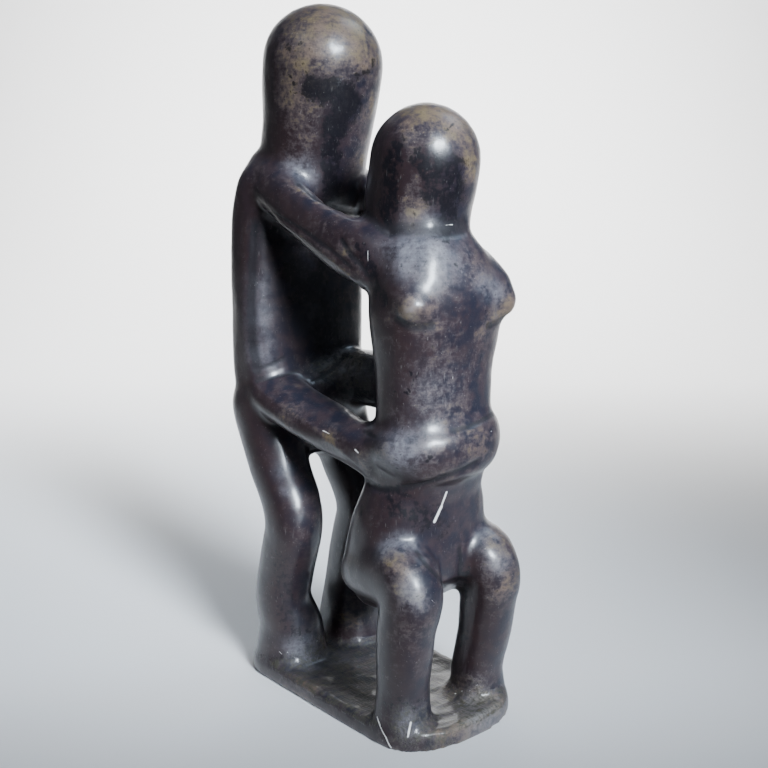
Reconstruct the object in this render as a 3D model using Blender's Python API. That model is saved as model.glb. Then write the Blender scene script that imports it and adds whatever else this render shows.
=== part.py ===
"""A stone carving of two plain figures on one plinth, all cut from a single block.

One figure stands at the back and holds the waist of a second, which half sits in front of it and
reaches back to its shoulders. Both face -Y, +Z is up, and the origin is the middle of the plinth's
underside. Run it with blender --background --python part.py.
"""

import math

import bmesh
import bpy
import numpy as np
from mathutils import Matrix, Vector

# Driving dimensions, in metres
HEIGHT = 0.443
PLINTH_LENGTH = 0.178
PLINTH_WIDTH = 0.103
PLINTH_THICKNESS = 0.013
PLINTH_DISH = 0.003
REAR_CORNER = 0.020
FRONT_REACH = 0.035

# Where the legs stand: from the plinth's sides and ends to the middle of a foot
REAR_FOOT_FROM_SIDE = 0.025
REAR_FOOT_FROM_BACK = 0.0245
FRONT_FOOT_FROM_SIDE = 0.0195
FRONT_FOOT_FROM_FRONT = 0.031

# The figures are drawn in millimetres, on a carving 443 mm tall with a plinth 13 mm thick
DRAWN_HEIGHT = 443.0
DRAWN_PLINTH = 13.0
DRAWN_MM = (HEIGHT - PLINTH_THICKNESS) / (DRAWN_HEIGHT - DRAWN_PLINTH)

# How square a section is: 2 is an ellipse and more is boxier
ROUND = 2.1
SOFT = 2.3
FIRM = 2.6
SLAB = 3.2

# How far the sections of the arms lean, in degrees
REACHING_ARM_LEAN = 14.0
NEAR_FOREARM_LEAN = 26.0

# How finely the joined block is cut, how long it is rubbed down and how many faces are kept
GRAIN = HEIGHT / 200
RUBBING = 12
MOST_TRIANGLES = 9600

# Each line of a form is x, y, z of its middle, then its half width along X and its half depth.
# A form given once for both sides is drawn on the +X side.
STANDING_TORSO = [
    (0, 82, 160, 37, 19),
    (0, 84.5, 195, 45.5, 19.5),
    (0, 84.5, 230, 48.5, 19.5),
    (0, 84.5, 270, 48.5, 19.5),
    (0, 84.5, 310, 46.5, 20),
    (0, 82.5, 332, 42, 20.5),
    (0, 80, 348, 34, 19.5),
]
STANDING_TORSO_DOME = 5
STANDING_HEAD = [
    (0, 82, 290, 32, 16),
    (0, 76, 309, 34, 25),
    (0, 70, 330, 34, 32),
    (0, 66.5, 353, 34.5, 34.5),
    (0, 62.5, 369, 35.5, 35.5),
    (0, 59, 391, 37.5, 37.5),
    (0, 56.5, 405, 38.3, 38.3),
]
STANDING_HEAD_DOME = 37.5
STANDING_PELVIS = [
    (0, 76, 146, 32, 15),
    (0, 80, 162, 42, 20),
    (0, 85, 184, 46.5, 25),
    (0, 85, 207, 43, 19.5),
]
STANDING_LAP = [
    (0, 75, 165, 34, 16),
    (4, 71, 179, 35, 17),
    (10, 69, 189, 30, 17),
    (16, 71, 198, 23, 15),
    (20, 75, 205, 16, 11),
]
STANDING_LEG = [
    (22, 86, 206, 16, 12),
    (27, 88.5, 187, 22, 23),
    (29, 81, 166, 20, 22),
    (29.5, 68.5, 140, 19, 20.5),
    (30, 57.5, 122, 18.5, 20),
    (30.5, 53.5, 106, 18, 20),
    (30.5, 58, 90, 17.5, 20),
    (30.5, 64, 71, 17.5, 19.5),
    (30.5, 67.5, 50, 18, 20),
]
STANDING_UPPER_ARM = [
    (26, 80, 339, 11, 12),
    (33.5, 84, 330, 12, 13),
    (37, 90, 310, 10.5, 11.5),
    (38.5, 93.5, 270, 9, 9.5),
    (38.5, 93.5, 230, 9, 9.5),
    (37.5, 91, 200, 10, 12),
    (36, 84, 191, 11, 12),
]
NEAR_FOREARM = [
    (35, 93, 197, 11, 11),
    (32.5, 72, 194.5, 17, 11.5),
    (32, 41, 186.5, 17.5, 10),
    (32, 12, 181, 17, 10),
    (33, -15, 175.5, 14, 13),
    (31, -38, 169, 12, 16),
]
FAR_FOREARM = [
    (28, 88, 194, 21, 14),
    (28, 74, 196.5, 22.5, 17.5),
    (30.5, 56, 199, 20, 19.5),
    (33, 37, 198, 16.5, 18.5),
    (35, 12, 193, 14, 16.5),
    (33, -15, 189, 13, 14.5),
    (31, -38, 184, 12, 15),
]
SITTING_HEAD = [
    (0, -33, 296, 30, 30.5),
    (0, -33.5, 306, 31, 31),
    (0, -34, 318, 31.5, 31.5),
    (0, -37.5, 332, 32, 32),
    (0, -40.5, 345, 32, 32),
]
SITTING_HEAD_DOME = 32
SITTING_TORSO = [
    (0, -42, 150, 36, 27),
    (0, -48, 175, 36, 27),
    (0, -49, 203, 37, 26),
    (0, -49, 225, 37.5, 26.5),
    (0, -49.5, 240, 40, 28.5),
    (0, -50, 255, 42, 30),
    (0, -49.5, 266, 41, 31),
    (0, -46.5, 278, 38, 30),
    (0, -43, 289, 31, 28),
    (0, -40.5, 298, 24, 26),
]
NEAR_BREAST = [
    (6, -46, 286, 24, 18),
    (16, -52, 277, 25, 19),
    (24, -59, 269, 20, 15.5),
    (31, -67.5, 262.5, 13, 11),
    (35, -74, 258, 8, 6.5),
]
FAR_BREAST = [
    (6, -47, 287, 24, 16),
    (18, -54, 279, 22, 16),
    (28.5, -62, 269, 17.5, 16),
    (35, -70, 262.5, 12.5, 12.5),
    (39.5, -77, 260, 5, 5.5),
]
SITTING_ARM = [
    (22, -46, 283, 12, 15),
    (31, -30, 288, 12, 18),
    (35, -8, 295.5, 10.5, 17),
    (36, 20, 306, 10, 14.5),
    (34.5, 48, 320, 11.5, 14.5),
    (30, 74, 332, 13, 14),
    (24, 86, 335, 11, 11),
]
WAIST_BAND = [
    (0.6, -46, 165, 36.5, 31),
    (0.3, -47, 171, 41, 35),
    (0, -47.5, 178, 44, 36),
    (-0.8, -48, 186, 43, 35),
    (-1.6, -48, 193, 38, 31),
]
SITTING_HIPS = [
    (0, -41, 156, 36, 27),
    (0, -39.5, 140, 41.5, 28.5),
    (0, -36, 124, 44.5, 31),
    (0, -33, 108, 44.5, 34),
    (0, -30, 94, 42, 34),
    (0, -38, 84, 32, 30),
    (0, -44, 76, 22, 20),
]
SITTING_LEG = [
    (22, -12, 92, 17, 10),
    (26, -22, 96, 20, 17),
    (29.5, -42, 100.5, 20.5, 20.5),
    (31.5, -59, 102, 20, 20.5),
    (33.5, -66.5, 90, 17.5, 19.5),
    (34.5, -64, 74, 16.5, 18),
    (34.5, -61.5, 52, 16, 17),
]

# The lowest lines of the legs: z, half width and half depth, above the middle of a foot
STANDING_FOOT = [(33, 20, 22), (19, 22, 24), (6, 24, 25)]
SITTING_FOOT = [(30, 15.5, 16), (17, 16.5, 17), (6, 17, 18)]

STONE_COLOUR = (0.055, 0.047, 0.045)
STONE_ROUGHNESS = 0.38


def clear_scene():
    for obj in list(bpy.data.objects):
        bpy.data.objects.remove(obj)


def placed(x, y, z):
    """A drawn point in metres. Drawn heights count from the plinth's top."""
    return Vector((x * DRAWN_MM, y * DRAWN_MM, PLINTH_THICKNESS + (z - DRAWN_PLINTH) * DRAWN_MM))


def drawn(lines):
    """The lines of a form in metres: its middle, half width and half depth."""
    return [(placed(x, y, z), w * DRAWN_MM, d * DRAWN_MM) for x, y, z, w, d in lines]


def foot(x, y, lines):
    """The lowest lines of a leg that stands at x, y on the plinth."""
    return [
        (Vector((x, y, placed(0, 0, z).z)), w * DRAWN_MM, d * DRAWN_MM) for z, w, d in lines
    ]


def smooth_rows(rows, steps=4):
    """Rows read from a smooth curve that passes through every given row."""
    rows = [np.array(row, float) for row in rows]
    rows = [2 * rows[0] - rows[1]] + rows + [2 * rows[-1] - rows[-2]]
    out = []
    for before, start, end, after in zip(rows, rows[1:], rows[2:], rows[3:]):
        for i in range(steps):
            t = i / steps
            out.append(
                0.5 * (2 * start + (end - before) * t
                       + (2 * before - 5 * start + 4 * end - after) * t ** 2
                       + (3 * start - before - 3 * end + after) * t ** 3)
            )
    out.append(rows[-2])
    return out


def section(middle, along, half_width, half_depth, squareness, lean=0.0, points=40):
    """A closed ring of points across the direction along, leaning by some degrees."""
    turn = Matrix.Rotation(math.radians(lean), 3, along)
    side = turn @ (Vector((1, 0, 0)) - along * along.x).normalized()
    depth = along.cross(side).normalized()
    ring = []
    for i in range(points):
        angle = 2 * math.pi * i / points
        c, s = math.cos(angle), math.sin(angle)
        across = math.copysign(abs(c) ** (2 / squareness), c) * half_width
        deep = math.copysign(abs(s) ** (2 / squareness), s) * half_depth
        ring.append(middle + side * across + depth * deep)
    return ring


def skin(block, rings):
    """Bridges the rings and closes both ends."""
    loops = [[block.verts.new(point) for point in ring] for ring in rings]
    for low, high in zip(loops, loops[1:]):
        for i in range(len(low)):
            j = (i + 1) % len(low)
            block.faces.new((low[i], low[j], high[j], high[i]))
    block.faces.new(list(reversed(loops[0])))
    block.faces.new(loops[-1])


def add_form(block, lines, squareness=SOFT, dome=0.0, lean=0.0, side=1):
    """A closed form through its lines, with a dome on its last end. Side -1 is the twin at -X."""
    rows = smooth_rows([(side * middle.x, middle.y, middle.z, w, d) for middle, w, d in lines])
    middles = [Vector(row[:3]) for row in rows]
    rings = []
    for i, row in enumerate(rows):
        before, after = middles[max(i - 1, 0)], middles[min(i + 1, len(rows) - 1)]
        along = (after - before).normalized()
        rings.append(section(middles[i], along, row[3], row[4], squareness, lean * side))
    dome_rings = 8 if dome else 0
    for i in range(1, dome_rings + 1):
        angle = math.pi / 2 * i / (dome_rings + 0.3)
        rise = dome * DRAWN_MM * math.sin(angle)
        width, depth = rows[-1][3] * math.cos(angle), rows[-1][4] * math.cos(angle)
        rings.append(section(middles[-1] + along * rise, along, width, depth, squareness))
    skin(block, rings)


def plinth_outline(inset):
    """The plinth seen from above, drawn in by inset: tight rear corners and a rounded front."""
    half_width, back = PLINTH_WIDTH / 2, PLINTH_LENGTH / 2
    corner_points, front_points = 9, 33
    radius = REAR_CORNER - inset
    outline = []
    for side, start in ((1, 0), (-1, math.pi / 2)):
        for i in range(corner_points):
            angle = start + math.pi / 2 * i / (corner_points - 1)
            x = side * (half_width - REAR_CORNER) + radius * math.cos(angle)
            outline.append(Vector((x, back - REAR_CORNER + radius * math.sin(angle), 0)))
    for i in range(front_points):
        angle = math.pi * (1 - i / (front_points - 1))
        c, s = math.cos(angle), math.sin(angle)
        x = math.copysign(abs(c) ** (2 / SOFT), c) * (half_width - inset)
        y = FRONT_REACH - back - abs(s) ** (2 / SOFT) * (FRONT_REACH - inset)
        outline.append(Vector((x, y, 0)))
    return outline


def add_plinth(block):
    """A thin slab whose top is dished. It runs a little below the ground and is cut off there."""
    edge = PLINTH_THICKNESS / 4
    profile = [
        (-edge, 0),
        (PLINTH_THICKNESS - edge, 0),
        (PLINTH_THICKNESS, edge),
        (PLINTH_THICKNESS - PLINTH_DISH / 2, 2 * edge),
        (PLINTH_THICKNESS - PLINTH_DISH, 4 * edge),
    ]
    skin(block, [[p + Vector((0, 0, z)) for p in plinth_outline(inset)] for z, inset in profile])


def add_standing_figure(block):
    x = PLINTH_WIDTH / 2 - REAR_FOOT_FROM_SIDE
    y = PLINTH_LENGTH / 2 - REAR_FOOT_FROM_BACK
    add_form(block, drawn(STANDING_TORSO), SLAB, dome=STANDING_TORSO_DOME)
    add_form(block, drawn(STANDING_HEAD), ROUND, dome=STANDING_HEAD_DOME)
    add_form(block, drawn(STANDING_PELVIS), FIRM)
    add_form(block, drawn(STANDING_LAP))
    add_form(block, drawn(NEAR_FOREARM), FIRM, lean=-NEAR_FOREARM_LEAN, side=-1)
    add_form(block, drawn(FAR_FOREARM))
    for side in (-1, 1):
        add_form(block, drawn(STANDING_LEG) + foot(x, y, STANDING_FOOT), side=side)
        add_form(block, drawn(STANDING_UPPER_ARM), side=side)


def add_sitting_figure(block):
    x = PLINTH_WIDTH / 2 - FRONT_FOOT_FROM_SIDE
    y = FRONT_FOOT_FROM_FRONT - PLINTH_LENGTH / 2
    add_form(block, drawn(SITTING_TORSO), FIRM)
    add_form(block, drawn(SITTING_HEAD), ROUND, dome=SITTING_HEAD_DOME)
    add_form(block, drawn(NEAR_BREAST), side=-1)
    add_form(block, drawn(FAR_BREAST))
    add_form(block, drawn(WAIST_BAND))
    add_form(block, drawn(SITTING_HIPS), FIRM)
    for side in (-1, 1):
        add_form(block, drawn(SITTING_ARM), FIRM, lean=-REACHING_ARM_LEAN, side=side)
        add_form(block, drawn(SITTING_LEG) + foot(x, y, SITTING_FOOT), side=side)


def apply_modifiers(obj):
    graph = bpy.context.evaluated_depsgraph_get()
    obj.data = bpy.data.meshes.new_from_object(obj.evaluated_get(graph), depsgraph=graph)
    obj.modifiers.clear()


def carve(name):
    """Joins every form into one block, rubs its joints down and thins out its faces."""
    block = bmesh.new()
    add_plinth(block)
    add_standing_figure(block)
    add_sitting_figure(block)
    bmesh.ops.recalc_face_normals(block, faces=block.faces)
    obj = bpy.data.objects.new(name, bpy.data.meshes.new(name))
    block.to_mesh(obj.data)
    block.free()
    bpy.context.scene.collection.objects.link(obj)

    joined = obj.modifiers.new("join into one block", "REMESH")
    joined.mode = "VOXEL"
    joined.voxel_size = GRAIN
    rubbed = obj.modifiers.new("rub down", "SMOOTH")
    rubbed.factor = 0.5
    rubbed.iterations = RUBBING
    apply_modifiers(obj)

    thinned = obj.modifiers.new("thin out faces", "DECIMATE")
    thinned.ratio = min(1.0, MOST_TRIANGLES / (2 * len(obj.data.polygons)))
    apply_modifiers(obj)
    return obj


def cut_foot_flat(obj):
    """Cuts off all that is below the ground and closes the cut with one flat face."""
    block = bmesh.new()
    block.from_mesh(obj.data)
    everything = block.verts[:] + block.edges[:] + block.faces[:]
    cut = bmesh.ops.bisect_plane(
        block, geom=everything, dist=1e-6, plane_co=(0, 0, 0), plane_no=(0, 0, 1), clear_inner=True
    )
    rim = [edge for edge in cut["geom_cut"] if isinstance(edge, bmesh.types.BMEdge)]
    bmesh.ops.edgeloop_fill(block, edges=rim)
    bmesh.ops.triangulate(block, faces=block.faces[:])
    bmesh.ops.recalc_face_normals(block, faces=block.faces)
    block.to_mesh(obj.data)
    block.free()


def stone():
    material = bpy.data.materials.new("dark_stone")
    material.use_nodes = True
    shader = material.node_tree.nodes["Principled BSDF"]
    shader.inputs["Base Color"].default_value = (*STONE_COLOUR, 1)
    shader.inputs["Roughness"].default_value = STONE_ROUGHNESS
    shader.inputs["Metallic"].default_value = 0.0
    return material


def main():
    clear_scene()
    carving = carve("stone_figures")
    cut_foot_flat(carving)
    carving.data.shade_smooth()
    carving.data.materials.clear()
    carving.data.materials.append(stone())
    print(len(carving.data.polygons), "triangles", [round(v, 4) for v in carving.dimensions])


main()
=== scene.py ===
# %% [markdown]
# # Two figures carved from one block of dark stone
# The real piece is a small table sculpture in dark soapstone: one figure stands and holds a second,
# which half sits in front of it. The solid model of the block is already built. This lesson takes
# a copy of it, works it over the way a carver would, and then mixes the stone, sets the light and
# frames the view of the picture.

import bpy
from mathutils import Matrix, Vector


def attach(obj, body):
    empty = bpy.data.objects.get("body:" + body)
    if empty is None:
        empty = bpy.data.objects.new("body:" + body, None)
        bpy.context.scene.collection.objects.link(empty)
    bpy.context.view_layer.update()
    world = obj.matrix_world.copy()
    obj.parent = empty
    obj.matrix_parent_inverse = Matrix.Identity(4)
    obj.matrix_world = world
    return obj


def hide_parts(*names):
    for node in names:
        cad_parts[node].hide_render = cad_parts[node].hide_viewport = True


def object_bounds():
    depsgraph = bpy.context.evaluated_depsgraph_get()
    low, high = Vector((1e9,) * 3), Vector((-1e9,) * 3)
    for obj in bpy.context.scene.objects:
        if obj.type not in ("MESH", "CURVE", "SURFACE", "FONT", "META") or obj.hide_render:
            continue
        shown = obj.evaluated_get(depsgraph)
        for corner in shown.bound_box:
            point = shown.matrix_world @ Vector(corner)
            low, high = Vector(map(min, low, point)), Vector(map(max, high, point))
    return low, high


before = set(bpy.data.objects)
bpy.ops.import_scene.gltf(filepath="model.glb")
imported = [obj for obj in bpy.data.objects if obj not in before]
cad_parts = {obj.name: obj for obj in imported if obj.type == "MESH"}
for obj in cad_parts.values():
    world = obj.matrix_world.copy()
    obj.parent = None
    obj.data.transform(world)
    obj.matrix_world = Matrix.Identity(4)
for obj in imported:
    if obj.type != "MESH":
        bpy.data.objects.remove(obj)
cad_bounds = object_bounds()
print("the solid model spans", [[round(v, 4) for v in corner] for corner in cad_bounds])

# %% [markdown]
# ## The view comes first
# Much of what makes this carving itself is small: a crease under a head, a worn spot, a scratch.
# They are placed by where the picture shows them, so the camera is set before anything is carved.
# It stands at the height of the front figure's face and looks a little down at the plinth.

# %% Set the camera
import math

import bpy
import numpy as np
from mathutils import Vector, noise
from mathutils.bvhtree import BVHTree

PICTURE_SIZE = 768
CAMERA_PLACE = Vector((-0.4373, -0.5116, 0.333))
CAMERA_HEADING = 40.7
CAMERA_PITCH = 10.7
CAMERA_FOCUS = 1081 / PICTURE_SIZE
SENSOR = 36.0

camera = bpy.data.objects.new("camera", bpy.data.cameras.new("camera"))
bpy.context.scene.collection.objects.link(camera)
camera.data.sensor_width = SENSOR
camera.data.lens = CAMERA_FOCUS * SENSOR
camera.data.clip_start = 0.01
camera.location = CAMERA_PLACE
camera.rotation_euler = (math.radians(90 - CAMERA_PITCH), 0, math.radians(-CAMERA_HEADING))
bpy.context.scene.camera = camera
print("lens", round(camera.data.lens, 2), "mm")

# %% [markdown]
# ## Stone fine enough to carve
# The real block is one piece of soapstone, soft enough to file. Its solid model has broad faces,
# made for weighing and for collisions. A subdivision would keep those facets and their uneven size.
# A voxel remesh cuts a copy of the model into small even faces instead, and smoothing rubs away the
# old facets. The grain is as fine as 200,000 triangles allow.
#
# How far a smoothing pass reaches depends on the size of the faces, so the number of passes is
# given for one grain and worked out for the one in use.

# %% Cut the block again, finer
MM = 0.001
FINE_GRAIN = 1.9 * MM
COUNTED_GRAIN = 1.25 * MM
FINE_RUBBING = 14


def passes(count):
    """The passes that rub as wide on this grain as count passes do on the counted grain."""
    return max(1, round(count * (COUNTED_GRAIN / FINE_GRAIN) ** 2))


node = bpy.data.objects["stone_figures"]
stone = bpy.data.objects.new("stone_carving", node.data.copy())
bpy.context.scene.collection.objects.link(stone)

recut = stone.modifiers.new("cut finer", "REMESH")
recut.mode = "VOXEL"
recut.voxel_size = FINE_GRAIN
rubbed = stone.modifiers.new("rub down", "SMOOTH")
rubbed.factor = 0.5
rubbed.iterations = passes(FINE_RUBBING)
graph = bpy.context.evaluated_depsgraph_get()
stone.data = bpy.data.meshes.new_from_object(stone.evaluated_get(graph), depsgraph=graph)
stone.modifiers.clear()
print(2 * len(stone.data.polygons), "triangles, cut to", FINE_GRAIN / MM, "mm")

# %% [markdown]
# ## A few carver's tools
# A carver's file and paper take stone off wherever it stands out. Blender's sculpt brushes could do
# that by hand, but not twice in the same way. Here every tool works on all points of the block at
# once, as one array: it reads them, moves each one towards the mean of its neighbours, and writes
# them back.

# %% Tools that read and rub the stone
point_count = len(stone.data.vertices)
edges = np.empty(2 * len(stone.data.edges), int)
stone.data.edges.foreach_get("vertices", edges)
edges = edges.reshape(-1, 2)
neighbours = np.bincount(edges.ravel(), minlength=point_count)[:, None]


def read_points():
    points = np.empty(3 * point_count)
    stone.data.vertices.foreach_get("co", points)
    return points.reshape(-1, 3)


def read_normals():
    normals = np.empty(3 * point_count, np.float32)
    stone.data.vertex_normals.foreach_get("vector", normals)
    return normals.reshape(-1, 3).astype(float)


def write_points(points):
    stone.data.vertices.foreach_set("co", points.ravel())
    stone.data.update()


def neighbour_mean(values):
    """The mean of each point's neighbours, for every column of values."""
    start, end = edges.T
    columns = [
        np.bincount(start, column[end], point_count) + np.bincount(end, column[start], point_count)
        for column in values.T
    ]
    return np.stack(columns, 1) / neighbours


def rub(values, times, share=1.0):
    """Moves all values halfway to their neighbours' mean, several times, or less by their share."""
    for _ in range(times):
        values = values + 0.5 * share * (neighbour_mean(values) - values)
    return values


print(point_count, "points,", len(edges), "edges")

# %% [markdown]
# ## From the picture to the stone
# Every mark on this carving has a place that the picture shows. Measuring each one on the block
# would be slow. Sending a ray from the camera through a pixel finds the same place, and where the
# ray just misses the stone, the nearest place to the ray does as well.

# %% Find what a pixel shows
RAY_START, RAY_STEP, RAY_STEPS = 0.5, 0.004, 110

look = camera.rotation_euler.to_matrix()
block_tree = BVHTree.FromPolygons(
    [v.co for v in stone.data.vertices], [p.vertices[:] for p in stone.data.polygons]
)


def seen_at(x, y):
    """The point of the stone behind a pixel of the picture, or the nearest one to its ray."""
    half, focus = PICTURE_SIZE / 2, CAMERA_FOCUS * PICTURE_SIZE
    ray = (look @ Vector(((x - half) / focus, (half - y) / focus, -1))).normalized()
    hit = block_tree.ray_cast(CAMERA_PLACE, ray)[0]
    if hit is None:
        along = [CAMERA_PLACE + ray * (RAY_START + RAY_STEP * i) for i in range(RAY_STEPS)]
        hit = min((block_tree.find_nearest(p) for p in along), key=lambda near: near[3])[0]
    return hit


print("the ray through the front head meets it at", [round(v, 3) for v in seen_at(426, 160)])

# %% [markdown]
# ## Soften what the block left lumpy
# Where several round forms meet, the block has small dents that the real stone hasn't. A carver
# takes them out with a rasp. Rubbing the whole block would round its edges too, so only these spots
# are rubbed, hard in the middle and less at the rim. Each one has its pixel and its radius in
# millimetres.

# %% Rasp the lumpy spots
def ease(low, high, values):
    """0 below low, 1 above high and a soft step between them."""
    t = np.clip((values - low) / (high - low), 0, 1)
    return t * t * (3 - 2 * t)


RASPING = 60
RASPED_CORE = 0.4
RASPED_SPOTS = [
    ((348, 372), 18), ((322, 372), 14), ((345, 395), 14), ((278, 172), 17), ((300, 180), 16),
    ((318, 640), 12), ((300, 655), 12), ((392, 292), 13), ((382, 270), 12), ((424, 228), 13),
    ((445, 690), 12), ((400, 715), 12), ((372, 575), 15), ((480, 300), 8),
    ((440, 426), 11), ((462, 424), 9), ((385, 480), 10),
]

points = read_points()
share = np.zeros(point_count)
for pixel, radius in RASPED_SPOTS:
    reach = np.linalg.norm(points - np.array(seen_at(*pixel)), axis=1)
    share = np.maximum(share, 1 - ease(RASPED_CORE * radius * MM, radius * MM, reach))
points = rub(points, passes(RASPING), share[:, None])
write_points(points)
print(len(RASPED_SPOTS), "spots rasped")

# %% [markdown]
# ## Fill the flats
# The highlights of the picture tell how the surface turns. The chest rises almost straight up to the
# crease of the neck, and the band swells where the near hand ends. The solid model could be changed
# for that, but a soft bump of a millimetre or two is easier to try out. Each one has its pixel, its
# radius and its height in millimetres, and a height below zero is a hollow.

# %% Fill and hollow
FILLED_SPOTS = [
    ((428, 242), 13, 2.4), ((398, 246), 9, 1.2), ((432, 308), 14, -0.9), ((387, 452), 13, 2.6),
    ((396, 556), 10, 1.2), ((289, 178), 10, 0.8), ((400, 240), 8, 1.0),
]

points, normals = read_points(), read_normals()
fill = np.zeros(point_count)
for pixel, radius, height in FILLED_SPOTS:
    reach = np.linalg.norm(points - np.array(seen_at(*pixel)), axis=1) / (radius * MM)
    fill += height * MM * np.exp(-reach ** 2)
write_points(points + normals * fill[:, None])
print("filled up to", round(fill.max() / MM, 1), "mm")

# %% [markdown]
# ## Lines over the stone
# A carver draws a line on the block before cutting it. Two pixels and a straight line between them
# would run through the stone where it curves, so the path is looked up again every few pixels and
# follows the surface.

# %% Follow a line over the stone
def path_seen(pixels, step=5.0):
    """A path on the stone through pixels, following its surface between them."""
    path = []
    for (x0, y0), (x1, y1) in zip(pixels, pixels[1:]):
        pieces = max(1, round(math.hypot(x1 - x0, y1 - y0) / step))
        for i in range(pieces):
            t = i / pieces
            path.append(seen_at(x0 + (x1 - x0) * t, y0 + (y1 - y0) * t))
    path.append(seen_at(*pixels[-1]))
    return np.array(path)


def distance_to(path, points):
    """How far each point is from a path."""
    nearest = np.full(len(points), np.inf)
    for start, end in zip(path, path[1:]):
        along = end - start
        t = np.clip((points - start) @ along / max(along @ along, 1e-12), 0, 1)
        nearest = np.minimum(nearest, np.linalg.norm(points - start - t[:, None] * along, axis=1))
    return nearest


print("a line under the front head has", len(path_seen([(388, 228), (464, 225)])), "places")

# %% [markdown]
# ## Creases and crests
# The forms of this carving are soft, but where they meet the tool has left a line: under the heads,
# round the holding arms, along the edge of each arm. A bump map could darken such a line, but it
# wouldn't catch the light at its rim, so the lines are cut into the mesh. A crease pushes the points
# near a path inward with a sharp middle, and a crest lifts them. Each line gives its pixels, its
# width and its depth in millimetres, and a depth below zero lifts.

# %% Carve the lines
CREASE_SHARPNESS = 1.5
CARVED_LINES = [
    ([(388, 228), (406, 230), (427, 231), (446, 229), (464, 225)], 9.0, 0.4),
    ([(390, 234), (408, 237), (427, 238), (446, 236), (464, 232)], 3.5, 1.4),
    ([(364, 213), (376, 223), (391, 235)], 5.0, 0.6),
    ([(366, 482), (380, 489), (394, 490), (412, 487), (432, 482), (456, 473), (477, 463)], 4.5, 1.8),
    ([(452, 431), (468, 427), (481, 421), (493, 414)], 2.8, 0.7),
    ([(364, 431), (375, 437), (386, 443), (396, 445)], 2.6, 0.5),
    ([(272, 211), (300, 228), (330, 249), (352, 268)], 2.2, 0.4),
    ([(341, 240), (350, 253), (360, 264), (368, 276)], 3.0, 0.8),
    ([(298, 184), (317, 200), (336, 210), (357, 213)], 4.5, 1.0),
    ([(254, 369), (270, 365), (284, 358)], 2.6, 0.7),
    ([(256, 381), (272, 378), (298, 371)], 2.6, 0.7),
    ([(313, 381), (322, 377), (332, 369), (343, 358)], 2.6, 0.9),
    ([(417, 552), (427, 565), (438, 577), (444, 588)], 3.5, 0.4),
    ([(459, 548), (461, 560), (460, 574)], 4.0, 0.4),
    ([(397, 320), (405, 325), (418, 328), (432, 326)], 5.0, 0.5),
    ([(488, 326), (497, 323), (508, 315)], 4.5, 0.4),
    ([(254, 224), (252, 262), (251, 300), (252, 342), (257, 370)], 7.0, 0.9),
    ([(256, 210), (283, 224), (310, 242), (338, 265), (364, 289)], 2.8, -0.8),
    ([(290, 181), (305, 195), (330, 209), (355, 217)], 4.0, -0.4),
    ([(478, 284), (492, 291), (509, 298)], 4.0, -0.5),
    ([(318, 405), (335, 412), (355, 420), (372, 422)], 3.5, -0.5),
    ([(256, 385), (270, 398), (288, 410), (310, 425), (335, 445), (355, 463)], 4.0, -0.7),
    ([(381, 554), (398, 549), (415, 542)], 7.0, -0.8),
    ([(425, 548), (436, 565), (441, 588)], 3.5, -0.5),
]

points, normals = read_points(), read_normals()
lift = np.zeros(point_count)
crease = np.zeros(point_count)
for pixels, width, depth in CARVED_LINES:
    nearness = np.clip(1 - distance_to(path_seen(pixels), points) / (width * MM), 0, 1)
    lift -= depth * MM * nearness ** CREASE_SHARPNESS
    if depth > 0:
        crease = np.maximum(crease, nearness)
write_points(points + normals * lift[:, None])
print(len(CARVED_LINES), "lines, deepest", round(-lift.min() / MM, 1), "mm")

# %% [markdown]
# ## Rough places
# The plinth, the feet and the seat behind the near arm were left as the tool cut them: shallow
# scoops, side by side, with a low ridge between each two. Noise that is folded at zero gives such
# ridges, and stretching it along one direction makes the scoops longer than they are wide. Cutting
# them one by one would look no different at this size. The places get a soft rim that strays, so
# that it doesn't look drawn. Blender takes the seed of this noise from the clock unless it is told
# one, so it gets a seed of its own and every run gives the same stone.

# %% Cut the rough places
TOOLED_SPOTS = [
    ((328, 368), 15, 1.0), ((350, 366), 18, 1.0), ((360, 388), 14, 0.8), ((352, 655), 14, 0.8),
    ((318, 648), 14, 0.8), ((290, 660), 12, 0.6), ((405, 722), 16, 0.8), ((470, 700), 16, 0.8),
    ((424, 736), 14, 0.9), ((448, 738), 12, 0.7),
]
PLINTH_TOP, PLINTH_ABOVE = 0.019, 0.034
SCOOP_WIDTH, SCOOP_LENGTH, SCOOP_DEPTH = 7 * MM, 16 * MM, 1.1 * MM
STRAY_LENGTH, STRAY, STRAY_SEED = 11 * MM, 7 * MM, 11
SPOT_FADE = 1.4


def stray(places):
    """The places, each pushed a few millimetres to one side by slow noise."""
    push = [noise.noise_vector(Vector(p / STRAY_LENGTH)) for p in places]
    return places + np.array(push) * STRAY


def spots_on(places, spots):
    """How strongly each place lies in any of the spots, fading from their middles."""
    strength = np.zeros(len(places))
    for where, radius, power in spots:
        middle = seen_at(*where) if len(where) == 2 else where
        reach = np.linalg.norm(places - np.array(middle), axis=1) / (radius * MM)
        strength = 1 - (1 - strength) * (1 - power * np.exp(-SPOT_FADE * reach ** 2))
    return strength


points, normals = read_points(), read_normals()
noise.seed_set(STRAY_SEED)
low_down = 1 - ease(PLINTH_TOP, PLINTH_ABOVE, points[:, 2])
facing_up = ease(0.1, 0.6, normals[:, 2])
tooled = np.maximum(low_down * facing_up, spots_on(stray(points), TOOLED_SPOTS))
scoops = points / np.array([SCOOP_LENGTH, SCOOP_WIDTH, SCOOP_LENGTH])
ridges = np.array([abs(noise.noise(Vector(p))) for p in scoops])
write_points(points - normals * ((ridges - ridges.mean()) * tooled * SCOOP_DEPTH)[:, None])
print("rough places cover", round(100 * float(tooled.mean())), "% of the stone")

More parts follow.
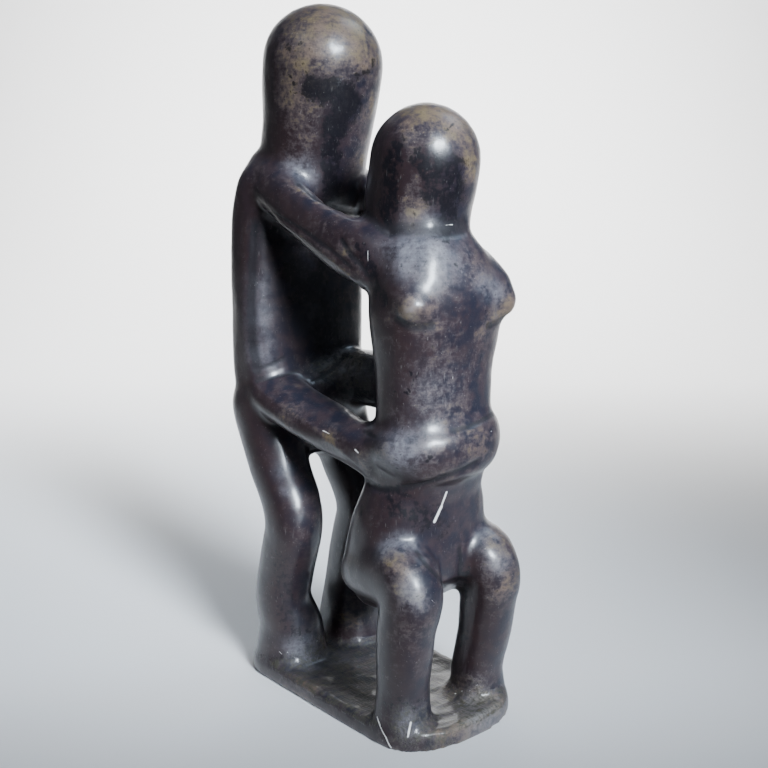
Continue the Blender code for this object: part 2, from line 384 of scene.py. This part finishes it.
# %% [markdown]
# ## An uneven hand
# A surface that was filed and waxed by hand is never quite true, and its highlights show that. Bump
# alone would leave the outline too clean, so two scales of noise push the points in and out: slow
# swells from the file and small ones from the finer paper. Then everything is kept inside the solid
# model's box, and the underside is laid flat on the ground.

# %% Add the file's swells
SWELL_LENGTH, SWELL_HEIGHT = 26 * MM, 0.45 * MM
RIPPLE_LENGTH, RIPPLE_HEIGHT = 7 * MM, 0.14 * MM
UNDERSIDE_KEPT, UNDERSIDE_FLAT = 1.5 * MM, 0.45 * MM

points, normals = read_points(), read_normals()
swell = np.array([noise.noise(Vector(p / SWELL_LENGTH)) for p in points])
ripple = np.array([noise.noise(Vector(p / RIPPLE_LENGTH)) for p in points])
off_ground = ease(0, UNDERSIDE_KEPT, points[:, 2])
lift = (swell * SWELL_HEIGHT + ripple * RIPPLE_HEIGHT) * off_ground
points = points + normals * lift[:, None]
points = np.clip(points, np.array(cad_bounds[0]), np.array(cad_bounds[1]))
points[points[:, 2] < UNDERSIDE_FLAT, 2] = 0
write_points(points)
stone.data.shade_smooth()
print("swells of", SWELL_HEIGHT / MM, "mm")

# %% [markdown]
# ## Where hands have been
# Handling has taken the dark wax off in places, and the khaki stone shows there. A painted image
# would need a flat layout of the whole skin. A spot in space needs none: it has a pixel, a radius
# in millimetres and a strength. The sides that the picture doesn't show have a few spots of their
# own, placed in metres.

# %% List the worn spots
WORN_SPOTS = [
    ((325, 12), 28, 0.75), ((352, 28), 22, 0.9), ((368, 60), 14, 0.7), ((300, 45), 24, 0.65),
    ((290, 95), 20, 0.8), ((302, 130), 16, 0.6), ((325, 60), 26, 0.7), ((372, 105), 14, 0.7),
    ((300, 155), 14, 0.4), ((362, 150), 14, 0.5), ((258, 185), 14, 0.3),
    ((425, 110), 22, 0.8), ((462, 130), 17, 0.85), ((474, 168), 12, 0.85), ((474, 205), 10, 0.7),
    ((408, 142), 12, 0.7), ((408, 184), 6, 0.8), ((412, 198), 7, 0.9), ((417, 213), 8, 0.9),
    ((414, 226), 9, 0.6),
    ((412, 314), 12, 1.0), ((434, 323), 9, 0.9), ((392, 316), 9, 0.7), ((500, 312), 13, 0.9),
    ((485, 326), 9, 0.6), ((432, 282), 16, 0.3), ((475, 265), 16, 0.4), ((442, 350), 24, 0.35),
    ((437, 405), 24, 0.5), ((478, 440), 16, 0.5), ((430, 455), 16, 0.4), ((370, 468), 13, 0.6),
    ((405, 592), 14, 0.8), ((390, 565), 14, 0.5), ((510, 580), 15, 0.7), ((495, 545), 16, 0.6),
    ((350, 580), 13, 0.5), ((345, 250), 9, 1.0), ((357, 272), 7, 0.8), ((325, 232), 14, 0.4),
    ((292, 415), 15, 0.5), ((328, 436), 13, 0.6), ((350, 360), 18, 1.0), ((330, 372), 9, 0.7),
    ((345, 668), 24, 0.6), ((325, 645), 12, 0.6), ((352, 618), 12, 0.8), ((455, 690), 15, 0.8),
    ((482, 704), 14, 0.9), ((432, 728), 15, 0.6), ((470, 724), 16, 1.0), ((498, 700), 12, 0.9),
    ((300, 690), 16, 0.5), ((400, 640), 16, 0.3),
]
FAR_WORN_SPOTS = [
    ((0.012, 0.090, 0.425), 30, 0.70), ((0.034, 0.062, 0.405), 26, 0.60),
    ((-0.010, 0.097, 0.385), 24, 0.50), ((0.024, -0.035, 0.362), 22, 0.70),
    ((0.010, -0.012, 0.352), 18, 0.60), ((0.046, 0.070, 0.320), 18, 0.60),
    ((-0.030, 0.103, 0.315), 20, 0.50), ((0.020, 0.104, 0.270), 34, 0.35),
    ((-0.012, 0.106, 0.212), 28, 0.45), ((0.036, 0.100, 0.180), 20, 0.50),
    ((0.044, 0.010, 0.300), 16, 0.50), ((0.048, 0.010, 0.205), 18, 0.50),
    ((0.040, -0.040, 0.270), 18, 0.50), ((0.048, -0.060, 0.110), 18, 0.50),
    ((0.045, 0.070, 0.090), 16, 0.40), ((-0.030, 0.085, 0.040), 16, 0.50),
    ((0.020, 0.095, 0.012), 20, 0.50),
]
print(len(WORN_SPOTS), "worn spots in the picture and", len(FAR_WORN_SPOTS), "on the far sides")

# %% [markdown]
# ## Black wax, painted shade and painted sheen
# Old wax has gone black in strokes and small cracks, so these marks follow paths, each with its
# width in millimetres and its strength. Some of the wide marks are painted shade, where one part of
# the carving shades another. Pale bluish spots are painted sheen: they put the broad highlights on
# the chest, hips, knees and plinth into the colour, and painted light into the shaded lap behind the
# near arm. That sheen is a list of spots again.

# %% List the black marks, painted shade and painted sheen
BLACK_WAX_AND_SHADE_MARKS = [
    ([(314, 88), (330, 91), (345, 96), (350, 106), (340, 116), (334, 130)], 11.0, 1.0),
    ([(373, 60), (371, 69), (362, 74), (352, 79), (348, 90)], 3.2, 0.7),
    ([(334, 124), (330, 150), (333, 172), (332, 196)], 9.0, 0.85),
    ([(288, 45), (300, 44)], 2.4, 0.55), ([(291, 49), (294, 53)], 2.2, 0.55),
    ([(289, 74), (290, 77)], 1.3, 1.0), ([(293, 82), (294, 85)], 1.3, 1.0),
    ([(436, 160), (450, 170), (455, 188), (450, 212), (443, 228)], 11.0, 0.8),
    ([(398, 148), (390, 165), (388, 190), (386, 215)], 9.0, 0.7),
    ([(420, 160), (430, 176), (430, 196)], 8.0, 0.7),
    ([(362, 246), (368, 262), (376, 284), (383, 300)], 5.5, 0.7),
    ([(341, 239), (345, 243)], 1.6, 1.0), ([(346, 250), (354, 262), (360, 272)], 1.3, 0.8),
    ([(395, 318), (402, 323), (409, 324)], 1.6, 1.0), ([(424, 330), (430, 327), (437, 323)], 1.3, 1.0),
    ([(407, 371), (413, 379), (420, 371)], 0.9, 1.0), ([(413, 379), (411, 388), (404, 394)], 0.9, 0.9),
    ([(386, 389), (392, 392), (400, 391)], 0.9, 0.9), ([(424, 463), (432, 457)], 1.2, 0.9),
    # Painted shade in the next four lines: wide dark marks in the hollow of the standing figure's
    # front, under its near arm, under the band, inside the far leg, on the standing figure's near leg,
    # under the far forearm and where the near foot meets the plinth.
    ([(300, 270), (318, 300), (330, 340)], 20.0, 0.7), ([(262, 228), (285, 240), (320, 262)], 9.0, 0.6),
    ([(392, 495), (410, 510), (440, 525)], 12.0, 0.5), ([(462, 575), (463, 600), (460, 640)], 9.0, 0.6),
    ([(280, 560), (285, 600), (300, 630)], 10.0, 0.4), ([(352, 392), (372, 400)], 9.0, 0.9),
    ([(360, 697), (372, 706)], 6.0, 0.6), ([(388, 705), (400, 702), (416, 705)], 6.0, 0.5),
    ([(428, 122), (436, 128), (447, 130), (454, 123)], 1.0, 0.6), ([(252, 226), (256, 232)], 1.4, 0.7),
    ([(362, 505), (361, 520)], 1.4, 0.8),
]

# Painted sheen: pale bluish colour where the broad highlights fall, and painted light in the lap.
PAINTED_SHEEN_SPOTS = [
    ((430, 250), 19, 0.85), ((407, 250), 15, 0.75), ((446, 262), 13, 0.45),
    ((434, 396), 22, 0.22), ((403, 450), 14, 0.8),
    ((385, 462), 12, 0.4), ((397, 547), 8, 0.8), ((411, 543), 7, 0.7), ((383, 551), 7, 0.6),
    ((298, 168), 9, 0.7), ((306, 178), 9, 0.5), ((258, 355), 12, 0.6), ((256, 320), 12, 0.5),
    ((258, 290), 12, 0.4), ((282, 470), 5, 0.5), ((288, 490), 5, 0.5), ((495, 291), 9, 0.7),
    ((483, 285), 9, 0.4), ((410, 590), 9, 0.8), ((420, 600), 8, 0.5), ((500, 560), 10, 0.5),
    ((480, 720), 18, 0.8), ((495, 708), 12, 0.6), ((408, 720), 9, 0.7), ((470, 703), 9, 0.6),
    ((300, 650), 13, 0.8), ((315, 660), 10, 0.5),
    ((346, 362), 14, 0.6), ((362, 374), 10, 0.4), ((462, 585), 6, 0.5), ((340, 660), 12, 0.4),
    ((412, 310), 6, 0.6), ((484, 535), 8, 0.5),
]
print(len(BLACK_WAX_AND_SHADE_MARKS), "black marks,", len(PAINTED_SHEEN_SPOTS), "spots of bloom")

# %% [markdown]
# ## Store it on the points
# Handling also takes the wax off whatever stands out and leaves it in the hollows. Comparing each
# point with a rubbed-down copy of the block tells which is which: a light rubbing finds edges, and
# a heavy one finds whole forms that swell out. Everything is stored on the points under a name, for
# the stone's material to read. The places stray a little first, so that no spot is a round dot.

# %% Store the wear
EDGE_RUBBING, SWELL_RUBBING = 12, 60
EDGE_DEPTH = 0.45 * MM
MARK_STRAY, PAINTED_SHEEN_STRAY = 0.25, 0.5
SHADED_SIDE_DIRECTION = np.array([-0.75, 0, -0.5])


def marks_on(places, marks):
    """How strongly each place lies in any of the marks: full on their path, none past its width."""
    strength = np.zeros(len(places))
    for pixels, width, power in marks:
        reach = distance_to(path_seen(pixels), places) / (width * MM)
        strength = np.maximum(strength, power * (1 - ease(0.3, 1.3, reach)))
    return strength


def store(name, values):
    stone.data.attributes.new(name, "FLOAT", "POINT").data.foreach_set("value", values)
    print(name, "mean", round(float(values.mean()), 3))


normals = read_normals()
proud = ((points - rub(points, passes(EDGE_RUBBING))) * normals).sum(1)
broad = ((points - rub(points, passes(SWELL_RUBBING))) * normals).sum(1)
store("edge", rub(ease(0.2 * EDGE_DEPTH, EDGE_DEPTH, proud)[:, None], 2)[:, 0])
store("hollow", np.maximum(rub(ease(0.2, 1, -proud / EDGE_DEPTH)[:, None], 2)[:, 0], crease))
store("swollen", ease(0, 3 * EDGE_DEPTH, broad))
strayed = stray(points)
store("worn", spots_on(strayed, WORN_SPOTS + FAR_WORN_SPOTS))
store("black", marks_on(points + MARK_STRAY * (strayed - points), BLACK_WAX_AND_SHADE_MARKS))
store("tooled", tooled)
# Painted sheen: the places where the broad highlights fall.
store("painted_sheen", spots_on(points + PAINTED_SHEEN_STRAY * (strayed - points), PAINTED_SHEEN_SPOTS))
# Painted shade: the side that faces down and to the left.
store("painted_shade_side", ease(-0.2, 0.9, normals @ SHADED_SIDE_DIRECTION))

# %% [markdown]
# ## The stone
# Soapstone this dark is mostly blue-black and purple-brown, and where the wax has gone it shows its
# own grey, khaki and tan. A picture of the surface would have to be unwrapped onto it. A material
# made from noise fits round any form, and it reads the wear stored on the points, so both stay in
# step. First come short names for the nodes that it is wired from.

# %% Tools that wire the material
material = bpy.data.materials.new("waxed_stone")
material.use_nodes = True
tree = material.node_tree
shader = tree.nodes["Principled BSDF"]


def wire(value, socket):
    """Puts a number, a colour or another node's output on a socket."""
    if isinstance(value, bpy.types.NodeSocket):
        tree.links.new(value, socket)
    else:
        socket.default_value = value


def maths(operation, *values):
    """One sum with numbers or sockets."""
    step = tree.nodes.new("ShaderNodeMath")
    step.operation = operation
    for value, socket in zip(values, step.inputs):
        wire(value, socket)
    return step.outputs[0]


def weighed(*terms):
    """The sum of some values, each given with its weight."""
    total = 0.0
    for value, weight in terms:
        total = maths("MULTIPLY_ADD", value, weight, total)
    return total


def vector_maths(operation, *values):
    """The same for vectors. SCALE has a socket of its own for its second value."""
    step = tree.nodes.new("ShaderNodeVectorMath")
    step.operation = operation
    sockets = [step.inputs[0], step.inputs["Scale"]] if operation == "SCALE" else step.inputs
    for value, socket in zip(values, sockets):
        wire(value, socket)
    return step.outputs["Value" if operation in ("DOT_PRODUCT", "LENGTH") else "Vector"]


def soft_step(value, low, high):
    """0 below low, 1 above high and a soft step between them."""
    step = tree.nodes.new("ShaderNodeMapRange")
    step.interpolation_type = "SMOOTHSTEP"
    for number, socket in zip((value, low, high), step.inputs):
        wire(number, socket)
    return step.outputs[0]


print("the material is called", material.name)

# %% [markdown]
# ### Noise, masks and layers
# The stone has clouds, spots and specks of several sizes, so one helper makes noise of any size.
# Another turns a stored value into a patch, its rim broken up by noise so that it doesn't look
# painted. The last one lays one colour over another, as thin wax or dust would lie.

# %% Tools that mix
place = tree.nodes.new("ShaderNodeTexCoord").outputs["Object"]
NOISE_ROUGHNESS = 0.6


def blend(share, first, second):
    """first where share is 0 and second where it is 1."""
    mix = tree.nodes.new("ShaderNodeMix")
    mix.data_type = "RGBA"
    wire(share, mix.inputs["Factor"])
    wire(first, mix.inputs["A"])
    wire(second, mix.inputs["B"])
    return mix.outputs["Result"]


def lay(over, colour, where, strength):
    """Lays one colour over another where a patch is, at most at its strength."""
    return blend(maths("MULTIPLY", where, strength), colour, over)


def stored(name):
    reader = tree.nodes.new("ShaderNodeAttribute")
    reader.attribute_name = name
    return reader.outputs["Fac"]


def grain(size, detail=4.0, stretch=None, offset=0.0):
    """Noise whose patches are about size across, in metres."""
    where = place
    if stretch:
        where = vector_maths("MULTIPLY", where, stretch)
    where = vector_maths("ADD", where, (offset, offset, offset))
    texture = tree.nodes.new("ShaderNodeTexNoise")
    wire(where, texture.inputs["Vector"])
    texture.inputs["Scale"].default_value = 1 / size
    texture.inputs["Detail"].default_value = detail
    texture.inputs["Roughness"].default_value = NOISE_ROUGHNESS
    return texture.outputs["Fac"]


def mask(value, mottle, amount, threshold=0.5, softness=0.12):
    """A patch where value is high, its rim broken up by noise."""
    broken = maths("ADD", value, maths("MULTIPLY", maths("SUBTRACT", mottle, 0.5), amount))
    return soft_step(broken, threshold - softness, threshold + softness)


print(len(tree.nodes), "nodes before the first colour")

# %% [markdown]
# ### The dark stone
# Under everything lies the waxed stone itself: blue-black clouds in purple-brown. A redder brown is
# painted on the side that faces down and to the left, as painted shade. One noise would look like
# camouflage. Five sizes of it together, with long streaks along the file's way, look like stone.

# %% Mix the dark stone
BLUE_BLACK = (0.0100, 0.0105, 0.0190, 1)
PURPLE_BROWN = (0.0290, 0.0190, 0.0235, 1)
SHADE_RED_BROWN = (0.0250, 0.0125, 0.0115, 1)

patches = grain(24 * MM, 5)
clouds = grain(9 * MM, 6, offset=3.1)
mottle = grain(3.2 * MM, 6, offset=7.7)
speckle = grain(1.1 * MM, 3, offset=1.3)
streaks = grain(1.6 * MM, 2, (0.14, 0.14, 1.0), offset=4.4)
STONE_NOISE = ((patches, 0.9), (mottle, 1.6), (clouds, 1.2), (speckle, 0.5), (streaks, 0.5))
noise_middle = 0.5 * sum(weight for _, weight in STONE_NOISE)
uneven = maths("SUBTRACT", weighed(*STONE_NOISE), noise_middle)

colour = blend(soft_step(clouds, 0.36, 0.64), BLUE_BLACK, PURPLE_BROWN)
# Painted shade: a redder brown on the side that faces down and to the left.
colour = lay(SHADE_RED_BROWN, colour, stored("painted_shade_side"), 0.75)
print("the noise swings round", round(noise_middle, 2))

# %% [markdown]
# ### Worn, with painted sheen on top
# The order of the layers matters. The paler grey shows on everything that stands out, and khaki and
# tan show where hands have been longest. The painted sheen, pale bluish colour where the highlights
# fall, lies over both. Each layer reads the same uneven noise, so worn places break up together as
# real wax does.

# %% Wear the wax off
STONE_GREY = (0.0640, 0.0500, 0.0520, 1)
KHAKI = (0.1430, 0.1080, 0.0600, 1)
TAN = (0.1360, 0.0960, 0.0700, 1)
# The last colour is painted sheen, a highlight laid into the colour.
PAINTED_SHEEN_COLOUR = (0.1700, 0.1720, 0.1950, 1)

wear = weighed(
    (stored("worn"), 0.86), (uneven, 1.0), (stored("edge"), 0.40), (stored("swollen"), 0.22),
    # The same side loses less wax, so it stays darker: painted shade.
    (stored("painted_shade_side"), -0.12),
)
worn = soft_step(wear, 0.38, 1.02)
warm = blend(soft_step(grain(15 * MM, 3, offset=9.4), 0.42, 0.6), KHAKI, TAN)
painted_sheen = maths("MULTIPLY", stored("painted_sheen"), soft_step(uneven, -0.75, 0.45))

colour = lay(STONE_GREY, colour, soft_step(wear, 0.06, 0.55), 0.62)
colour = lay(warm, colour, worn, 0.85)
# Painted sheen: pale bluish colour laid where the broad highlights fall.
colour = lay(PAINTED_SHEEN_COLOUR, colour, painted_sheen, 0.85)
print("grey, khaki, tan and bloom laid over the dark stone")

# %% [markdown]
# ### Tool marks
# In the rough places the tool also left fine hatching, in two directions and paler on its crests.
# It is finer than the mesh, so noise stretched two ways stands in for it, here as colour and later
# as bump.

# %% Hatch the rough places
OLIVE = (0.0480, 0.0450, 0.0330, 1)

cuts = grain(1.5 * MM, 3, (1.0, 0.16, 1.0), offset=6.1)
cross_cuts = grain(1.7 * MM, 3, (0.2, 1.0, 0.5), offset=8.3)
hatching = maths("MULTIPLY", maths("ADD", cuts, cross_cuts), 0.5)
tooled = mask(stored("tooled"), mottle, 1.6, 0.55, 0.3)
colour = lay(OLIVE, colour, tooled, soft_step(hatching, 0.42, 0.62))
colour = lay(KHAKI, colour, tooled, soft_step(hatching, 0.60, 0.72))
print("two directions of hatching")

# %% [markdown]
# ### Black wax, painted shade, pits and specks
# Black wax sits in the narrow marks and in every crease, and the wide marks lay painted shade where
# parts of the carving shade each other. Tiny pits have kept the wax too. Pale specks and hairlines
# lie over all of it. They come from noise, because nobody could place so many by hand, and only their
# number and size follow the picture.

# %% Blacken the creases, lay the painted shade and scatter the specks
BLACK = (0.0025, 0.0025, 0.0050, 1)
PALE = (0.8500, 0.8200, 0.7800, 1)

rim = weighed((clouds, 0.4), (mottle, 0.6))
# Black wax in the narrow marks, painted shade in the wide ones.
black = mask(stored("black"), rim, 4.2, 0.55, 0.28)
hollow = mask(stored("hollow"), mottle, 0.8, 0.5, 0.28)
specks = soft_step(speckle, 0.68, 0.76)
pits = soft_step(grain(1.8 * MM, 2, offset=12.5), 0.72, 0.76)
hairs = soft_step(grain(0.8 * MM, 1, (1.0, 0.6, 0.10), offset=2.2), 0.71, 0.76)

for over, where, strength in (
    (BLACK, black, 0.90), (BLACK, hollow, 0.70), (PALE, specks, 0.16), (BLACK, pits, 0.80),
    (PALE, hairs, 0.05),
):
    colour = lay(over, colour, where, strength)
print(len(tree.nodes), "nodes so far")

# %% [markdown]
# ### Scratches
# A fresh scratch in soapstone is almost white. Each one is too thin for the mesh to carry, so the
# material measures how far it is from a line between two places on the stone. A bent scratch is
# several lines in a row. Each has its two ends as pixels and its width in millimetres, and a little
# noise makes it wobble.

# %% Draw the scratches
SCRATCHES = [
    ((447, 492), (442, 506), 1.00), ((442, 506), (435, 521), 1.25),
    ((377, 716), (380, 725), 0.55), ((380, 725), (386, 737), 0.40), ((386, 737), (391, 747), 0.60),
    ((411, 722), (408, 736), 0.80),
    ((400, 193), (409, 197), 0.35), ((441, 225), (455, 224), 0.25),
    ((454, 365), (453, 378), 0.30), ((368, 250), (368, 262), 0.16),
    ((260, 232), (271, 228), 0.25), ((459, 572), (466, 600), 0.35),
    ((430, 329), (440, 331), 0.35), ((323, 430), (329, 433), 0.30),
    ((355, 449), (358, 452), 0.60), ((287, 652), (318, 640), 0.16),
    ((430, 598), (437, 604), 0.20), ((388, 188), (391, 199), 0.25),
    ((278, 650), (292, 662), 0.16), ((445, 682), (470, 690), 0.16),
    ((455, 693), (478, 684), 0.16), ((505, 420), (491, 431), 0.20),
]
WOBBLE_LENGTH, WOBBLE = 2.5 * MM, 0.5 * MM

wobble = vector_maths("MULTIPLY", grain(WOBBLE_LENGTH, 2), (WOBBLE,) * 3)
scratch_place = vector_maths("ADD", place, wobble)
scratched = 0.0
for first, last, width in SCRATCHES:
    start, end = seen_at(*first), seen_at(*last)
    along = end - start
    from_start = vector_maths("SUBTRACT", scratch_place, tuple(start))
    share = vector_maths("DOT_PRODUCT", from_start, tuple(along / along.length_squared))
    clamped = maths("MINIMUM", maths("MAXIMUM", share, 0.0), 1.0)
    foot = vector_maths("SCALE", tuple(along), clamped)
    away = vector_maths("LENGTH", vector_maths("SUBTRACT", from_start, foot))
    line = maths("SUBTRACT", 1.0, soft_step(away, 0.5 * width * MM, 1.1 * width * MM))
    scratched = maths("MAXIMUM", scratched, line)
colour = lay(PALE, colour, scratched, 0.9)
wire(colour, shader.inputs["Base Color"])
print(len(SCRATCHES), "scratches")

# %% [markdown]
# ### Sheen
# The wax shines where it was rubbed and is dull where it has worn off or never been polished. The
# spots of painted sheen are made dull too. One roughness for the whole piece would look like
# plastic, so it follows the same patches as the colour. A thin clear coat stands for the last rub of
# wax.

# %% Set the sheen
WAXED, COAT, COAT_ROUGHNESS, STONE_IOR = 0.30, 0.30, 0.18, 1.47

dull = maths("MAXIMUM", hollow, tooled)
roughness = weighed((mottle, 0.16), (worn, 0.06), (painted_sheen, 0.14), (dull, 0.20))
wire(maths("ADD", WAXED, roughness), shader.inputs["Roughness"])
shader.inputs["IOR"].default_value = STONE_IOR
shader.inputs["Coat Weight"].default_value = COAT
shader.inputs["Coat Roughness"].default_value = COAT_ROUGHNESS
print("roughness from", WAXED, "up")

# %% [markdown]
# ### Bump
# What is left is finer than the mesh: the file's marks, the hatching, the pits and the scratches,
# all less than half a millimetre deep. Bump is enough for these, because none of them shows on the
# outline.

# %% Set the bump
BUMP_STRENGTH, BUMP_DEPTH = 0.55, 0.35 * MM

filed = grain(5 * MM, 3, (1.0, 1.0, 0.12), offset=5.2)
relief = weighed(
    (mottle, 0.5), (speckle, 0.25), (filed, 0.25), (maths("MULTIPLY", tooled, hatching), 4.5),
    (pits, -0.6), (scratched, -0.6),
)
bump = tree.nodes.new("ShaderNodeBump")
bump.inputs["Strength"].default_value = BUMP_STRENGTH
bump.inputs["Distance"].default_value = BUMP_DEPTH
wire(relief, bump.inputs["Height"])
wire(bump.outputs["Normal"], shader.inputs["Normal"])
stone.data.materials.clear()
stone.data.materials.append(material)
print(len(tree.nodes), "nodes in the stone")

# %% [markdown]
# ## Studio
# A sheet of pale paper runs under the carving and curves up behind it, so that no horizon shows. A
# flat floor and a wall would need a corner. The profile is drawn once and swept across the view.

# %% Roll out the paper
PAPER_WIDTH = 5.0
PAPER_FRONT = -1.6
PAPER_BACK = 1.1
PAPER_CURVE, CURVE_STEPS = 0.8, 24
PAPER_HEIGHT = 2.6

heading = math.radians(CAMERA_HEADING)
ahead = Vector((math.sin(heading), math.cos(heading), 0))
across = Vector((math.cos(heading), -math.sin(heading), 0))

profile = [(PAPER_FRONT, 0.0)]
for i in range(CURVE_STEPS + 1):
    angle = math.pi / 2 * i / CURVE_STEPS
    profile.append((PAPER_BACK + PAPER_CURVE * math.sin(angle), PAPER_CURVE * (1 - math.cos(angle))))
profile.append((PAPER_BACK + PAPER_CURVE, PAPER_HEIGHT))
corners = [
    ahead * reach + across * side * PAPER_WIDTH / 2 + Vector((0, 0, height))
    for reach, height in profile
    for side in (-1, 1)
]
strips = [(2 * i, 2 * i + 1, 2 * i + 3, 2 * i + 2) for i in range(len(profile) - 1)]
floor_mesh = bpy.data.meshes.new("paper")
floor_mesh.from_pydata(corners, [], strips)
floor_mesh.shade_smooth()
floor = bpy.data.objects.new("paper", floor_mesh)
bpy.context.scene.collection.objects.link(floor)
print("paper", PAPER_WIDTH, "m wide")

# %% [markdown]
# ### A graded sheet
# Polished stone mirrors whatever lies in front of it, and a white floor would put a grey veil over
# every dark form. Photographers lay grey card in front for that. Here the paper gets darker towards
# the camera, from just behind the carving on, and stays pale where it is the background.

# %% Grade the paper
GREY_FROM, PALE_FROM = -0.30, 0.05
PAPER_GREY, PAPER_PALE = 0.30, 0.85

paper = bpy.data.materials.new("white_paper")
paper.use_nodes = True
paper_shader = paper.node_tree.nodes["Principled BSDF"]
paper_place = paper.node_tree.nodes.new("ShaderNodeTexCoord").outputs["Object"]
forward = paper.node_tree.nodes.new("ShaderNodeVectorMath")
forward.operation = "DOT_PRODUCT"
forward.inputs[1].default_value = ahead
grade = paper.node_tree.nodes.new("ShaderNodeMapRange")
grade.interpolation_type = "SMOOTHSTEP"
grade.inputs["From Min"].default_value = GREY_FROM
grade.inputs["From Max"].default_value = PALE_FROM
grade.inputs["To Min"].default_value = PAPER_GREY
grade.inputs["To Max"].default_value = PAPER_PALE
paper.node_tree.links.new(paper_place, forward.inputs[0])
paper.node_tree.links.new(forward.outputs["Value"], grade.inputs["Value"])
paper.node_tree.links.new(grade.outputs["Result"], paper_shader.inputs["Base Color"])
paper_shader.inputs["Roughness"].default_value = 0.95
paper_shader.inputs["Specular IOR Level"].default_value = 0.1
floor.data.materials.append(paper)
print("paper from", PAPER_GREY, "in front to", PAPER_PALE, "behind")

# %% [markdown]
# ## Light
# The highlights of the picture tell where its lights were. The broad soft ones on the foreheads and
# the chest come from a window low in front. A bluer one comes from the sky on the right, and a pale
# wall on the left fills the dark side and the near legs. Strong light from everywhere would turn
# the black stone grey, so the lamps are weak and their beams narrow, and only the paper behind the
# carving gets a bright wash of its own.

# %% Set the lights
SKY_COLOUR, SKY_STRENGTH = (0.70, 0.82, 1.0, 1), 0.08
LIGHT_DISTANCE = 1.5
CARVING_MIDDLE = Vector((0, -0.01, 0.25))

world = bpy.data.worlds.new("studio")
world.use_nodes = True
world.node_tree.nodes["Background"].inputs["Color"].default_value = SKY_COLOUR
world.node_tree.nodes["Background"].inputs["Strength"].default_value = SKY_STRENGTH
bpy.context.scene.world = world


def add_light(name, direction, size, power, colour, spread, aim=CARVING_MIDDLE):
    """A flat lamp that lies in a direction from what it is aimed at. Its spread is in degrees."""
    lamp = bpy.data.lights.new(name, "AREA")
    lamp.shape = "RECTANGLE"
    lamp.size, lamp.size_y = size
    lamp.energy = power
    lamp.color = colour
    lamp.spread = math.radians(spread)
    obj = bpy.data.objects.new(name, lamp)
    obj.location = aim + Vector(direction).normalized() * LIGHT_DISTANCE
    obj.rotation_euler = (aim - obj.location).to_track_quat("-Z", "Y").to_euler()
    bpy.context.scene.collection.objects.link(obj)
    print(name, power, "W")


add_light("window in front", (-0.16, -0.87, 0.46), (0.58, 0.50), 3.8, (0.80, 0.89, 1.0), 24)
add_light("sky, right and above", (0.62, -0.10, 0.80), (1.0, 0.8), 0.50, (0.66, 0.82, 1.0), 30)
add_light("pale wall, left and above", (-0.70, -0.05, 0.65), (2.2, 1.8), 1.1, (0.74, 0.86, 1.0), 40)
backdrop = ahead * 1.7 + Vector((0, 0, 0.5))
above_carving = ahead * -0.7 + Vector((0, 0, 1.2))
add_light("wash on the paper", above_carving, (1.6, 0.6), 55, (1.0, 1.0, 1.0), 100, backdrop)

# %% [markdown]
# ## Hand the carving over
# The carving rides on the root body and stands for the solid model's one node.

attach(stone, "root")
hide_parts("stone_figures")
